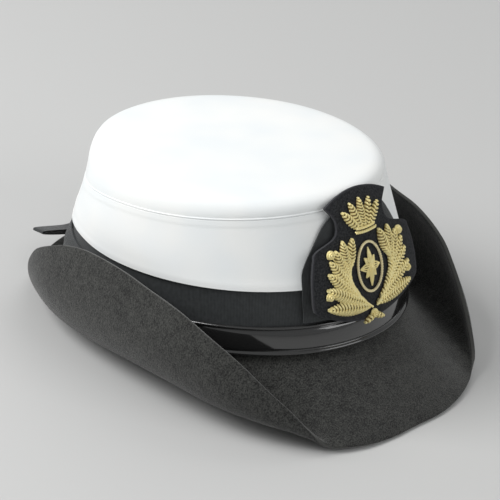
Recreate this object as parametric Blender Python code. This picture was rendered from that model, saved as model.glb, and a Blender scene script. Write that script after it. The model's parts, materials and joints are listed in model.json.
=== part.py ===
# A woman's uniform cap: a hollow felt crown with a brim turned up at the sides and drawn down
# at the front, a white cloth cover, a ribbon band, a patent chin strap, an embroidered badge
# and a flat bow behind. Metres, +Z up, the front towards -Y, standing on a table at z = 0.
#
# Everything is shaped first with the crown's foot level at z = 0. A turn is the angle round the
# head from the front centre: 0 in front, 90 at the wearer's left (+X), 180 behind. Last, the
# whole cap is tipped back until it rests on the front of its brim and on the brim behind.

import math

import bmesh
import bpy
import numpy as np
from mathutils import Matrix, Vector

# Head opening and felt
HEAD_HALF_WIDTH = 0.0802
HEAD_HALF_LENGTH = 0.0972
FELT = 0.0025
CROWN_HEIGHT = 0.0830
SEAM_SLANT = 0.077
BACK_DIP = 0.0080

# Brim
BRIM_REACH = 0.0405
BRIM_LIFT = 0.0433
BRIM_STEPS = 8

# Cover, band and strap
CLEARANCE = 0.0003
COVER_CLOTH = 0.0010
HEM_HEIGHT = 0.0370
HEM_LAP = 0.0052
PIPING_RADIUS = 0.0010
PIPING_SIDES = 5
RIBBON = 0.0012
BAND_START = 0.0008
STRAP_WIDTH = 0.0160
STRAP_START = 0.0015
STRAP_THICKNESS = 0.0020

# Raised front of the band
PEAK_RIBBON = 0.0008
PEAK_HEIGHT = 0.0760
PEAK_HALF_TURN = 28.0
PEAK_COLUMNS = 10

# Rows of the cover's wall from hem to seam, as shares of the way up
WALL_ROWS = (0.38, 0.70, 1.00)

# Badge patch and its gold relief
PATCH_HALF_WIDTH = 0.0410
PATCH_HEIGHT = 0.0700
PATCH_FELT = 0.0018
PATCH_BEND = 0.180
PATCH_FOOT = 0.0145
PATCH_COLUMNS = 10
RELIEF = 0.0022
LAYER = 0.00006
SPRAY_HEIGHT = 0.0410
SPRAY_HALF_WIDTH = 0.0330
SPRAY_FOOT = 0.0070
STEM_POINTS = 8
STEM_RELIEF = 0.70
BERRY_RADIUS = 0.0026
BERRY_SIDES = 7
RING_HALF_WIDTH = 0.0092
RING_HALF_HEIGHT = 0.0132
RING_CENTRE = 0.0285
RING_CORD = 0.0012
RING_STEPS = 24
RING_SIDES = 6
STAR_REACH = 0.0074
STAR_WAIST = 0.0028
STAR_POINTS = 8
STAR_STRETCH = 1.40
STAR_SHORT_POINT = 0.72
STAR_EDGE = 0.40
FAN_HEIGHT = 0.0155
FAN_FOOT = 0.0490
FAN_SPREAD = 84.0
FAN_LEAVES = 5
TIE_HALF_WIDTH = 0.0090

# Bow at the back
BOW_REACH = 0.0460
BOW_RIBBON = 0.0008
BOW_WIDTH = 0.0080
BOW_OPENING = 0.0014
BOW_PINCH = 0.0010
BOW_RISE = 0.0072
BOW_HINGE = 0.48
BOW_SOFTNESS = 0.13
BOW_HEIGHT = 0.0034
BOW_STEPS = 36
BOW_FULLNESS = 0.8
KNOT_WIDTH = 0.0090
KNOT_RIBBON = 0.0009

# Points round every ring, closer together where the front corners of the brim bend
FINE_TURN = 80.0
FINE_STEPS = 16
COARSE_STEPS = 12

# Finishes: red, green, blue, roughness, metallic
FELT_FINISH = (0.020, 0.020, 0.021, 0.90, 0.0)
COVER_FINISH = (0.86, 0.87, 0.87, 0.70, 0.0)
RIBBON_FINISH = (0.012, 0.014, 0.017, 0.60, 0.0)
PATENT_FINISH = (0.004, 0.004, 0.005, 0.08, 0.0)
PATCH_FINISH = (0.010, 0.011, 0.015, 0.90, 0.0)
GOLD_FINISH = (0.75, 0.53, 0.20, 0.35, 1.0)
SHARP_ANGLE = 40.0

# Crown rings from the foot to the flat top. Width is a share of the felt's half width at the
# foot, front and back are shares of its half length there, height is a share of CROWN_HEIGHT,
# slant a share of SEAM_SLANT and dip a share of BACK_DIP. The wall bends where the hem sits.
CROWN_RINGS = (
    # name, width, front, back, height, slant, dip
    ("foot", 1.000, 1.000, 1.030, 0.000, 0.00, 0.00),
    ("hem", 0.960, 0.957, 0.965, HEM_HEIGHT / CROWN_HEIGHT, 0.00, 0.00),
    ("seam", 0.897, 0.853, 0.872, 0.833, 1.00, 1.00),
    ("rise", 0.886, 0.848, 0.860, 0.890, 0.75, 0.70),
    ("shoulder", 0.860, 0.831, 0.846, 0.945, 0.35, 0.30),
    ("rim", 0.812, 0.794, 0.815, 0.981, 0.08, 0.06),
    ("top", 0.620, 0.608, 0.630, 0.998, 0.00, 0.00),
    ("flat", 0.360, 0.350, 0.370, 1.000, 0.00, 0.00),
)
SEAM = [row[0] for row in CROWN_RINGS].index("seam")

# The brim's sections in one half turn. Each section is a curve from the crown's foot to the
# edge, pulled by two handles. Reach runs out from the crown in shares of BRIM_REACH, lift runs
# up in shares of BRIM_LIFT.
BRIM_SECTIONS = (
    # turn, edge reach, edge lift, near reach, near lift, far reach, far lift
    (0.0, 0.884, -0.880, 0.25, -0.18, 0.66, -0.56),
    (10.0, 0.946, -0.874, 0.25, -0.18, 0.70, -0.56),
    (16.0, 0.988, -0.850, 0.26, -0.20, 0.74, -0.56),
    (22.0, 1.005, -0.813, 0.28, -0.24, 0.78, -0.58),
    (26.0, 0.998, -0.767, 0.30, -0.34, 0.86, -0.74),
    (31.0, 0.943, -0.554, 0.32, -0.46, 1.00, -0.82),
    (35.0, 0.874, -0.346, 0.34, -0.54, 1.08, -0.80),
    (40.0, 0.800, -0.111, 0.36, -0.62, 1.12, -0.72),
    (47.0, 0.704, 0.206, 0.38, -0.68, 1.08, -0.60),
    (54.0, 0.635, 0.450, 0.39, -0.70, 0.98, -0.44),
    (64.0, 0.494, 0.709, 0.37, -0.62, 0.84, -0.18),
    (73.0, 0.365, 0.831, 0.35, -0.54, 0.74, 0.00),
    (84.0, 0.296, 0.947, 0.33, -0.46, 0.68, 0.12),
    (98.0, 0.296, 1.000, 0.33, -0.42, 0.68, 0.16),
    (107.0, 0.375, 0.952, 0.34, -0.38, 0.73, 0.14),
    (114.0, 0.444, 0.831, 0.33, -0.34, 0.74, 0.12),
    (121.0, 0.490, 0.658, 0.31, -0.28, 0.70, 0.09),
    (128.0, 0.520, 0.370, 0.28, -0.22, 0.62, 0.05),
    (136.0, 0.490, 0.120, 0.24, -0.16, 0.46, 0.00),
    (148.0, 0.430, -0.010, 0.18, -0.10, 0.32, -0.08),
    (164.0, 0.400, -0.030, 0.15, -0.08, 0.28, -0.08),
    (180.0, 0.390, -0.030, 0.15, -0.08, 0.28, -0.08),
)

# The strap's section, with its two raised edges. Out is a share of STRAP_THICKNESS, up is a
# share of STRAP_WIDTH.
STRAP_SECTION = (
    # out, up
    (0.00, 0.00),
    (0.00, 1.00),
    (1.00, 1.00),
    (1.00, 0.89),
    (0.70, 0.85),
    (0.70, 0.15),
    (1.00, 0.11),
    (1.00, 0.00),
)

# Sections of the bow's knot, outside from end to end and then back through its hole. Place is a
# share of KNOT_WIDTH from its middle, thickness a share of KNOT_RIBBON and square the flat
# share of each side.
KNOT_SECTIONS = (
    # place, thickness, square
    (-0.50, 0.60, 0.70),
    (-0.30, 1.00, 0.70),
    (0.30, 1.00, 0.70),
    (0.50, 0.60, 0.70),
    (0.50, 0.00, 0.95),
    (-0.50, 0.00, 0.95),
)

# Outline of the raised front: height as a share of PEAK_HEIGHT, half width as a share of
# PEAK_HALF_TURN.
PEAK_OUTLINE = (
    # height, half width
    (0.25, 1.00),
    (0.49, 1.00),
    (0.60, 0.98),
    (0.68, 0.91),
    (0.76, 0.81),
    (0.82, 0.73),
    (0.90, 0.61),
    (0.98, 0.42),
)

# Outline of the patch: height as a share of PATCH_HEIGHT, half width as a share of
# PATCH_HALF_WIDTH, and the arch of that row at its middle as a share of PATCH_HEIGHT.
PATCH_OUTLINE = (
    # height, half width, arch
    (0.150, 0.92, -0.150),
    (0.190, 1.00, -0.130),
    (0.320, 1.01, -0.080),
    (0.460, 0.98, -0.030),
    (0.580, 0.92, 0.000),
    (0.635, 0.86, 0.000),
    (0.685, 0.56, 0.000),
    (0.730, 0.47, 0.000),
    (0.820, 0.46, 0.010),
    (0.920, 0.58, 0.080),
)

# Section across a leaf: place as a share of its half width, rise as a share of its ridge.
LEAF_SECTION = (
    # place, rise
    (1.0, 0.00),
    (0.6, 0.75),
    (0.0, 1.00),
    (-0.6, 0.75),
    (-1.0, 0.00),
)
LEAF_POINTS = 5
LEAF_FULLNESS = 0.7
LEAF_LOW_RIDGE = 0.45
LEAF_TIP = 0.20

# Rings of a berry: radius as a share of BERRY_RADIUS, rise as a share of RELIEF.
BERRY_RINGS = (
    # radius, rise
    (1.00, 0.00),
    (0.92, 0.60),
    (0.55, 1.14),
)

# Stem of one spray. Its start and spread are shares of SPRAY_HALF_WIDTH, its rise and width of
# SPRAY_HEIGHT, and its sweep the share of a half wave that it follows.
STEM_START = 0.05
STEM_SPREAD = 0.46
STEM_SWEEP = 0.75
STEM_RISE = 0.70
STEM_WIDTH = 0.022
STALK_WIDTH = 0.030

# Leaves of one spray: where the leaf starts on the stem and how long and wide it is, as
# shares of SPRAY_HEIGHT, and the way it points, in degrees out from straight up.
SPRAY_LEAVES = (
    # start, length, width, lean
    (0.02, 0.75, 0.19, 80.0),
    (0.10, 0.74, 0.19, 63.0),
    (0.22, 0.68, 0.19, 49.0),
    (0.36, 0.62, 0.18, 36.0),
    (0.50, 0.55, 0.18, 20.0),
    (0.66, 0.50, 0.17, 2.0),
    (0.82, 0.40, 0.16, -20.0),
)

# Berries of one spray: where the stalk starts on the stem, how long it is as a share of
# SPRAY_HEIGHT, and the way it points.
SPRAY_BERRIES = (
    # start, stalk, lean
    (0.16, 0.60, 71.0),
    (0.44, 0.60, 29.0),
)

# The fan's bar, the start of its leaves, their width and how much the outer ones are shorter,
# as shares of FAN_HEIGHT.
FAN_BAR_POINTS = 6
FAN_BAR_REACH = 0.50
FAN_BAR_WIDTH = 0.08
FAN_START = 0.26
FAN_LEAF_WIDTH = 0.30
FAN_DROP = 0.06

# The tie's drop below the sprays and its two ends, as shares of TIE_HALF_WIDTH. The lean is in
# degrees out from straight up.
TIE_DROP = 0.45
TIE_CROSSING = 0.20
TIE_LENGTH = 1.10
TIE_WIDTH = 0.34
TIE_LEAN = 112.0


def shares(table, turn):
    """Row of values at a turn, read from the table along a smooth curve."""
    turns = [row[0] for row in table]
    at = min(max(sum(turn >= t for t in turns) - 1, 0), len(table) - 2)
    before, low, high, after = (table[min(max(at + k, 0), len(table) - 1)] for k in (-1, 0, 1, 2))
    span = high[0] - low[0]
    u = (turn - low[0]) / span
    values = []
    for column in range(1, len(low)):
        first = (high[column] - before[column]) / max(high[0] - before[0], span) * span
        last = (after[column] - low[column]) / max(after[0] - low[0], span) * span
        if at == 0:
            first = 0.0
        if at == len(table) - 2:
            last = 0.0
        values.append(low[column] * (2 * u**3 - 3 * u**2 + 1) + first * (u**3 - 2 * u**2 + u)
                      + high[column] * (3 * u**2 - 2 * u**3) + last * (u**3 - u**2))
    return values


def ring_turns():
    """Angles of the points round a ring, mirrored left and right."""
    fine = [FINE_TURN * k / FINE_STEPS for k in range(FINE_STEPS)]
    coarse = [FINE_TURN + (180.0 - FINE_TURN) * k / COARSE_STEPS for k in range(COARSE_STEPS + 1)]
    half = fine + coarse
    return half + [-turn for turn in reversed(half[1:-1])]


def outward(turn):
    """Level direction straight out from the crown at a turn."""
    angle = math.radians(turn)
    side = math.sin(angle) * (HEAD_HALF_LENGTH + FELT)
    back = -math.cos(angle) * (HEAD_HALF_WIDTH + FELT)
    return Vector((side, back, 0.0)).normalized()


def crown_point(ring, turn):
    """Point of the felt's outer face on one crown ring."""
    _, width, front, back, height, slant, dip = ring
    angle = math.radians(turn)
    behind = max(0.0, -math.cos(angle))
    length = back if behind else front
    x = width * (HEAD_HALF_WIDTH + FELT) * math.sin(angle)
    y = -length * (HEAD_HALF_LENGTH + FELT) * math.cos(angle)
    return Vector((x, y, height * CROWN_HEIGHT - slant * SEAM_SLANT * y - dip * BACK_DIP * behind**2))


def wall_point(turn, height, out):
    """Point beside the crown's wall at a height, so far out from the felt."""
    column = [crown_point(ring, turn) for ring in CROWN_RINGS[:SEAM + 2]]
    at = 0
    while at < len(column) - 2 and height > column[at + 1].z:
        at += 1
    low, high = column[at], column[at + 1]
    point = low.lerp(high, (height - low.z) / (high.z - low.z))
    return point + outward(turn) * out


def brim_point(turn, step):
    """Point of the brim's upper face, from the foot of the crown (0) to the edge (1)."""
    edge_reach, edge_lift, near_reach, near_lift, far_reach, far_lift = shares(BRIM_SECTIONS, abs(turn))
    near, far, edge = 3 * step * (1 - step)**2, 3 * step**2 * (1 - step), step**3
    reach = (near * near_reach + far * far_reach + edge * edge_reach) * BRIM_REACH
    lift = (near * near_lift + far * far_lift + edge * edge_lift) * BRIM_LIFT
    return crown_point(CROWN_RINGS[0], turn) + outward(turn) * reach + Vector((0.0, 0.0, lift))


def make_object(name, rows, finish, wrap=False, caps=False):
    """Object skinned over rows of points, each a closed ring."""
    shape = bmesh.new()
    rings = [[shape.verts.new(point) for point in row] for row in rows]
    pairs = list(zip(rings, rings[1:]))
    if wrap:
        pairs.append((rings[-1], rings[0]))
    for low, high in pairs:
        for k in range(len(low)):
            following = (k + 1) % len(low)
            shape.faces.new((low[k], low[following], high[following], high[k]))
    if caps:
        shape.faces.new(list(reversed(rings[0])))
        shape.faces.new(rings[-1])
    return finish_object(name, shape, finish)


def finish_object(name, shape, finish):
    """Object made of a closed shape, faces out, smooth but for its sharp edges."""
    bmesh.ops.recalc_face_normals(shape, faces=shape.faces)
    if shape.calc_volume(signed=True) < 0:
        bmesh.ops.reverse_faces(shape, faces=shape.faces)
    mesh = bpy.data.meshes.new(name)
    shape.to_mesh(mesh)
    shape.free()
    mesh.shade_smooth()
    mesh.set_sharp_from_angle(angle=math.radians(SHARP_ANGLE))
    piece = bpy.data.objects.new(name, mesh)
    bpy.context.scene.collection.objects.link(piece)
    material = bpy.data.materials.new(name)
    material.use_nodes = True
    surface = material.node_tree.nodes["Principled BSDF"]
    *colour, roughness, metallic = finish
    surface.inputs["Base Color"].default_value = (*colour, 1.0)
    surface.inputs["Roughness"].default_value = roughness
    surface.inputs["Metallic"].default_value = metallic
    mesh.materials.append(material)
    return piece


def felt_grid(turns):
    """Outer face of crown and brim as rows of points, from the flat top to the brim's edge."""
    rows = [[crown_point(ring, turn) for turn in turns] for ring in reversed(CROWN_RINGS)]
    for step in range(1, BRIM_STEPS + 1):
        rows.append([brim_point(turn, step / BRIM_STEPS) for turn in turns])
    return np.array(rows)


def grid_normals(grid):
    """Outward direction at every point of a grid of rings that runs from the top down."""
    along = np.roll(grid, -1, axis=1) - np.roll(grid, 1, axis=1)
    down = np.empty_like(grid)
    down[1:-1] = grid[2:] - grid[:-2]
    down[0] = 0.0
    down[0, :, :2] = grid[1, :, :2] - grid[0, :, :2]
    down[-1] = grid[-1] - grid[-2]
    normals = np.cross(down, along)
    return normals / np.linalg.norm(normals, axis=2, keepdims=True)


def make_felt(turns):
    outer = felt_grid(turns)
    inner = outer - grid_normals(outer) * FELT
    return make_object("felt_body", [*outer, *inner[::-1]], FELT_FINISH, caps=True)


def make_cover(turns):
    """Side wall, piping and top panel of the white cover."""
    seam = CROWN_RINGS[SEAM]
    over_band = CLEARANCE + RIBBON + CLEARANCE
    margin = PIPING_RADIUS + CLEARANCE

    def wall(turn, out):
        low = HEM_HEIGHT + HEM_LAP
        top = crown_point(seam, turn).z - margin
        rows = [(HEM_HEIGHT, over_band), (low, over_band)]
        rows += [(low + (top - low) * share, CLEARANCE) for share in WALL_ROWS]
        return [wall_point(turn, height, base + out) for height, base in rows]

    outer = list(zip(*(wall(turn, COVER_CLOTH) for turn in turns)))
    inner = list(zip(*(wall(turn, 0.0) for turn in turns)))
    make_object("cover_side", outer + inner[::-1], COVER_FINISH, wrap=True)

    welt = []
    for side in range(PIPING_SIDES):
        angle = math.tau * (side + 0.5) / PIPING_SIDES
        out = CLEARANCE + PIPING_RADIUS * (1 + math.cos(angle))
        up = Vector((0.0, 0.0, PIPING_RADIUS * math.sin(angle)))
        welt.append([crown_point(seam, turn) + outward(turn) * out + up for turn in turns])
    make_object("cover_piping", welt, COVER_FINISH, wrap=True)

    grid = felt_grid(turns)
    normals = grid_normals(grid)
    count = len(CROWN_RINGS) - SEAM
    faces = []
    for out in (CLEARANCE, CLEARANCE + COVER_CLOTH):
        face = grid[:count] + normals[:count] * out
        level = np.array([wall_point(turn, crown_point(seam, turn).z + margin, out) for turn in turns])
        face[-1] = level
        faces.append(face)
    inner_face, outer_face = faces
    make_object("cover_top", [*inner_face, *outer_face[::-1]], COVER_FINISH, caps=True)


def make_band(turns):
    heights = (BAND_START, HEM_HEIGHT, HEM_HEIGHT + HEM_LAP - CLEARANCE)
    inner = [[wall_point(turn, height, CLEARANCE) for turn in turns] for height in heights]
    outer = [[wall_point(turn, height, CLEARANCE + RIBBON) for turn in turns] for height in heights]
    make_object("hat_band", inner + outer[::-1], RIBBON_FINISH, wrap=True)


def make_strap(turns):
    base = 2 * CLEARANCE + RIBBON
    rows = []
    for out, up in STRAP_SECTION:
        height = STRAP_START + up * STRAP_WIDTH
        rows.append([wall_point(turn, height, base + out * STRAP_THICKNESS) for turn in turns])
    make_object("chin_strap", rows, PATENT_FINISH, wrap=True)


def plate(rows_front, rows_back):
    """Closed sheet between two grids of points with the same rows and columns."""
    shape = bmesh.new()
    grids = []
    for rows in (rows_front, rows_back):
        grids.append([[shape.verts.new(point) for point in row] for row in rows])
    front, back = grids
    last_row, last_column = len(front) - 1, len(front[0]) - 1
    for grid in grids:
        for r in range(last_row):
            for c in range(last_column):
                shape.faces.new((grid[r][c], grid[r][c + 1], grid[r + 1][c + 1], grid[r + 1][c]))
    rim = [(0, c) for c in range(last_column)] + [(r, last_column) for r in range(last_row)]
    rim += [(last_row, c) for c in range(last_column, 0, -1)] + [(r, 0) for r in range(last_row, 0, -1)]
    for (r, c), (s, d) in zip(rim, rim[1:] + rim[:1]):
        shape.faces.new((front[r][c], front[s][d], back[s][d], back[r][c]))
    return shape


def make_peak():
    """Raised front of the band, lying on the band and then on the cover."""
    under = 2 * CLEARANCE + RIBBON + COVER_CLOTH + CLEARANCE
    faces = []
    for out in (under + PEAK_RIBBON, under):
        rows = []
        for height, half_width in PEAK_OUTLINE:
            half = half_width * PEAK_HALF_TURN
            turns = [half * (2 * c / PEAK_COLUMNS - 1) for c in range(PEAK_COLUMNS + 1)]
            rows.append([wall_point(turn, height * PEAK_HEIGHT, out) for turn in turns])
        faces.append(rows)
    finish_object("band_peak", plate(*faces), RIBBON_FINISH)


def patch_depth(height):
    """Depth and slope of the patch's front face on the centre line, over strap, hem and peak."""
    over_strap = 2 * CLEARANCE + RIBBON + STRAP_THICKNESS + CLEARANCE + PATCH_FELT
    over_peak = 3 * CLEARANCE + RIBBON + COVER_CLOTH + PEAK_RIBBON + CLEARANCE + PATCH_FELT
    seats = [wall_point(0.0, PATCH_FOOT, over_strap), wall_point(0.0, HEM_HEIGHT, over_peak),
             wall_point(0.0, PEAK_HEIGHT, over_peak)]
    curve = np.polyfit([seat.z for seat in seats], [seat.y for seat in seats], 2)
    return np.polyval(curve, height), np.polyval(np.polyder(curve), height)


def patch_point(across, up, out=0.0):
    """Point so far across and up the patch's front face, and out from it."""
    depth, slope = patch_depth(PATCH_FOOT + up)
    angle = across / PATCH_BEND
    radius = PATCH_BEND + out
    ahead = Vector((0.0, -1.0, slope)).normalized()
    middle = Vector((radius * math.sin(angle), depth, PATCH_FOOT + up))
    return middle + ahead * (radius * math.cos(angle) - PATCH_BEND)


def make_patch():
    faces = []
    for out in (0.0, -PATCH_FELT):
        rows = []
        for height, half_width, arch in PATCH_OUTLINE:
            row = []
            for c in range(PATCH_COLUMNS + 1):
                share = 2 * c / PATCH_COLUMNS - 1
                up = (height + arch * (1 - share**2)) * PATCH_HEIGHT
                row.append(patch_point(share * half_width * PATCH_HALF_WIDTH, up, out))
            rows.append(row)
        faces.append(rows)
    finish_object("badge_patch", plate(*faces), PATCH_FINISH)


def lens(centre_line, widths, height, base):
    """Leaf-like pad on the patch: a ridge over a flat foot, pointed at both ends."""
    shape = bmesh.new()
    count = len(centre_line)
    rows = []
    for k in range(1, count - 1):
        before, at, after = centre_line[k - 1], centre_line[k], centre_line[k + 1]
        along = Vector((after[0] - before[0], after[1] - before[1])).normalized()
        side = Vector((-along.y, along.x)) * widths[k]
        ridge = height * min(1.0, LEAF_LOW_RIDGE + widths[k] / max(widths))
        row = []
        for place, rise in LEAF_SECTION:
            spot = patch_point(at[0] + side.x * place, at[1] + side.y * place, base + ridge * rise)
            row.append(shape.verts.new(spot))
        rows.append(row)
    first = shape.verts.new(patch_point(*centre_line[0], base + height * LEAF_TIP))
    last = shape.verts.new(patch_point(*centre_line[-1], base + height * LEAF_TIP))
    sides = len(LEAF_SECTION)
    for low, high in zip(rows, rows[1:]):
        for k in range(sides):
            following = (k + 1) % sides
            shape.faces.new((low[k], low[following], high[following], high[k]))
    for k in range(sides):
        following = (k + 1) % sides
        shape.faces.new((first, rows[0][following], rows[0][k]))
        shape.faces.new((last, rows[-1][k], rows[-1][following]))
    return shape


def leaf(start, lean, length, width, base=CLEARANCE):
    """Straight leaf from a start point, leaning out from straight up."""
    angle = math.radians(lean)
    way = Vector((math.sin(angle), math.cos(angle)))
    steps = [k / (LEAF_POINTS - 1) for k in range(LEAF_POINTS)]
    line = [Vector(start) + way * length * step for step in steps]
    widths = [width / 2 * math.sin(math.pi * step)**LEAF_FULLNESS for step in steps]
    return lens([tuple(point) for point in line], widths, RELIEF, base)


def berry(centre, base=CLEARANCE):
    """Round pad."""
    shape = bmesh.new()
    rings = []
    for radius, rise in BERRY_RINGS:
        ring = []
        for k in range(BERRY_SIDES):
            angle = math.tau * k / BERRY_SIDES
            x = centre[0] + BERRY_RADIUS * radius * math.cos(angle)
            y = centre[1] + BERRY_RADIUS * radius * math.sin(angle)
            ring.append(shape.verts.new(patch_point(x, y, base + rise * RELIEF)))
        rings.append(ring)
    for low, high in zip(rings, rings[1:]):
        for k in range(BERRY_SIDES):
            following = (k + 1) % BERRY_SIDES
            shape.faces.new((low[k], low[following], high[following], high[k]))
    shape.faces.new(list(reversed(rings[0])))
    shape.faces.new(rings[-1])
    return shape


def fuse(name, shapes):
    """One gold solid from overlapping closed shapes, which nearly share a plane at their feet."""
    pieces = [finish_object(name if k == 0 else f"{name}_{k}", shape, GOLD_FINISH)
              for k, shape in enumerate(shapes)]
    body = pieces[0]
    for other in pieces[1:]:
        union = body.modifiers.new("join", "BOOLEAN")
        union.operation = "UNION"
        union.solver = "MANIFOLD"
        union.object = other
    graph = bpy.context.evaluated_depsgraph_get()
    joined = bpy.data.meshes.new_from_object(body.evaluated_get(graph))
    body.modifiers.clear()
    body.data = joined
    for other in pieces[1:]:
        bpy.data.objects.remove(other, do_unlink=True)
    joined.shade_smooth()
    joined.set_sharp_from_angle(angle=math.radians(SHARP_ANGLE))
    return body


def stem_point(share):
    """Point along the left spray's curved stem."""
    sweep = math.sin(share * math.pi * STEM_SWEEP)
    x = (STEM_START + STEM_SPREAD * sweep) * SPRAY_HALF_WIDTH
    y = SPRAY_FOOT + share * SPRAY_HEIGHT * STEM_RISE
    return x, y


def make_sprays():
    """Leaf sprays to left and right, mirror images of each other."""
    line = [stem_point(k / (STEM_POINTS - 1)) for k in range(STEM_POINTS)]
    widths = [0.0] + [SPRAY_HEIGHT * STEM_WIDTH] * (STEM_POINTS - 2) + [0.0]
    shapes = [lens(line, widths, RELIEF * STEM_RELIEF, CLEARANCE)]
    for start, length, width, lean in SPRAY_LEAVES:
        shapes.append(leaf(stem_point(start), lean, length * SPRAY_HEIGHT, width * SPRAY_HEIGHT,
                           base=CLEARANCE + LAYER * len(shapes)))
    for start, stalk, lean in SPRAY_BERRIES:
        angle = math.radians(lean)
        x, y = stem_point(start)
        reach = stalk * SPRAY_HEIGHT
        tip = (x + reach * math.sin(angle), y + reach * math.cos(angle))
        shapes.append(leaf((x, y), lean, reach, SPRAY_HEIGHT * STALK_WIDTH,
                           base=CLEARANCE + LAYER * len(shapes)))
        shapes.append(berry(tip, base=CLEARANCE + LAYER * len(shapes)))
    left = fuse("badge_spray_left", shapes)
    mirrored = bmesh.new()
    mirrored.from_mesh(left.data)
    bmesh.ops.scale(mirrored, vec=(-1.0, 1.0, 1.0), verts=mirrored.verts)
    finish_object("badge_spray_right", mirrored, GOLD_FINISH)


def make_ring():
    """Oval cord round the star."""
    rows = []
    for k in range(RING_STEPS):
        angle = math.tau * k / RING_STEPS
        section = []
        for side in range(RING_SIDES):
            turn = math.tau * side / RING_SIDES
            spread = RING_CORD * math.cos(turn)
            rise = CLEARANCE + RING_CORD * (1 + math.sin(turn))
            x = (RING_HALF_WIDTH + spread) * math.cos(angle)
            y = RING_CENTRE + (RING_HALF_HEIGHT + spread) * math.sin(angle)
            section.append(patch_point(x, y, rise))
        rows.append(section)
    make_object("badge_ring", rows, GOLD_FINISH, wrap=True)


def make_star():
    """Faceted star, its points ridged from the middle."""
    shape = bmesh.new()
    top = shape.verts.new(patch_point(0.0, RING_CENTRE, CLEARANCE + RELIEF))
    low, high = [], []
    for k in range(2 * STAR_POINTS):
        angle = math.tau * k / (2 * STAR_POINTS) + math.pi / 2
        reach = STAR_WAIST if k % 2 else STAR_REACH * (1.0 if k % 4 == 0 else STAR_SHORT_POINT)
        x, y = reach * math.cos(angle), RING_CENTRE + STAR_STRETCH * reach * math.sin(angle)
        low.append(shape.verts.new(patch_point(x, y, CLEARANCE)))
        high.append(shape.verts.new(patch_point(x, y, CLEARANCE + RELIEF * STAR_EDGE)))
    count = len(low)
    for k in range(count):
        following = (k + 1) % count
        shape.faces.new((low[k], low[following], high[following], high[k]))
        shape.faces.new((high[k], high[following], top))
    shape.faces.new(list(reversed(low)))
    finish_object("badge_star", shape, GOLD_FINISH)


def make_fan():
    """Palmette of leaves rising from a short bar."""
    reach = FAN_HEIGHT * FAN_BAR_REACH
    bar = [(reach * (2 * k / (FAN_BAR_POINTS - 1) - 1), FAN_FOOT) for k in range(FAN_BAR_POINTS)]
    widths = [0.0] + [FAN_HEIGHT * FAN_BAR_WIDTH] * (FAN_BAR_POINTS - 2) + [0.0]
    shapes = [lens(bar, widths, RELIEF, CLEARANCE)]
    for k in range(FAN_LEAVES):
        share = 2 * k / (FAN_LEAVES - 1) - 1
        start = (share * FAN_HEIGHT * FAN_START, FAN_FOOT)
        length = FAN_HEIGHT * (1.0 - FAN_DROP * share**2)
        shapes.append(leaf(start, share * FAN_SPREAD / 2, length, FAN_HEIGHT * FAN_LEAF_WIDTH,
                           base=CLEARANCE + LAYER * len(shapes)))
    fuse("badge_fan", shapes)


def make_tie():
    """Small flat knot that crosses the feet of the two sprays."""
    foot = SPRAY_FOOT - TIE_HALF_WIDTH * TIE_DROP
    shapes = []
    for hand in (-1, 1):
        shapes.append(leaf((-hand * TIE_HALF_WIDTH * TIE_CROSSING, foot), hand * TIE_LEAN,
                           TIE_HALF_WIDTH * TIE_LENGTH, TIE_HALF_WIDTH * TIE_WIDTH,
                           base=CLEARANCE + LAYER * len(shapes)))
    shapes.append(berry((0.0, foot), base=CLEARANCE + LAYER * len(shapes)))
    fuse("badge_tie", shapes)


def bow_rise(x):
    """Lift of the bow above its knot: flat out to the hinge, then a straight rise."""
    lifts = []
    for share in (abs(x) / BOW_REACH, 1.0):
        past = share - BOW_HINGE
        lifts.append(math.hypot(past, BOW_SOFTNESS) + past)
    return BOW_RISE * lifts[0] / lifts[1]


def make_bow():
    """Two flat ribbon loops pinched by a knot, lying behind the strap on the brim."""
    strap_out = 2 * CLEARANCE + RIBBON + STRAP_THICKNESS
    back = wall_point(180.0, STRAP_START, strap_out).y
    middle = back + CLEARANCE + KNOT_RIBBON + CLEARANCE + BOW_WIDTH / 2
    outline = []
    for k in range(BOW_STEPS):
        angle = math.tau * k / BOW_STEPS
        spread = BOW_OPENING / 2 * abs(math.cos(angle))**BOW_FULLNESS
        outline.append((BOW_REACH * math.cos(angle), math.sin(angle) * (BOW_PINCH / 2 + spread)))
    rows = []
    for grow, side in ((BOW_RIBBON, -0.5), (BOW_RIBBON, 0.5), (0.0, 0.5), (0.0, -0.5)):
        row = []
        for k, (x, z) in enumerate(outline):
            before, after = outline[k - 1], outline[(k + 1) % len(outline)]
            along = Vector((after[0] - before[0], after[1] - before[1])).normalized()
            height = BOW_HEIGHT + bow_rise(x) + z - along.x * grow
            row.append((x + along.y * grow, middle + side * BOW_WIDTH, height))
        rows.append(row)
    make_object("bow_loops", rows, RIBBON_FINISH, wrap=True)

    half_deep = BOW_WIDTH / 2 + CLEARANCE
    half_tall = BOW_PINCH / 2 + BOW_OPENING / 2 + BOW_RIBBON + CLEARANCE
    rows = []
    for x, grow, square in KNOT_SECTIONS:
        rows.append(knot_ring(x * KNOT_WIDTH, middle, half_deep + grow * KNOT_RIBBON,
                              half_tall + grow * KNOT_RIBBON, square))
    make_object("bow_knot", rows, RIBBON_FINISH, wrap=True)


def knot_ring(x, middle, half_deep, half_tall, square):
    """Eight points round the knot, its corners cut where square is under 1."""
    corners = ((-1, -square), (-1, square), (-square, 1), (square, 1),
               (1, square), (1, -square), (square, -1), (-square, -1))
    return [(x, middle + a * half_deep, BOW_HEIGHT + b * half_tall) for a, b in corners]


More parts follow.
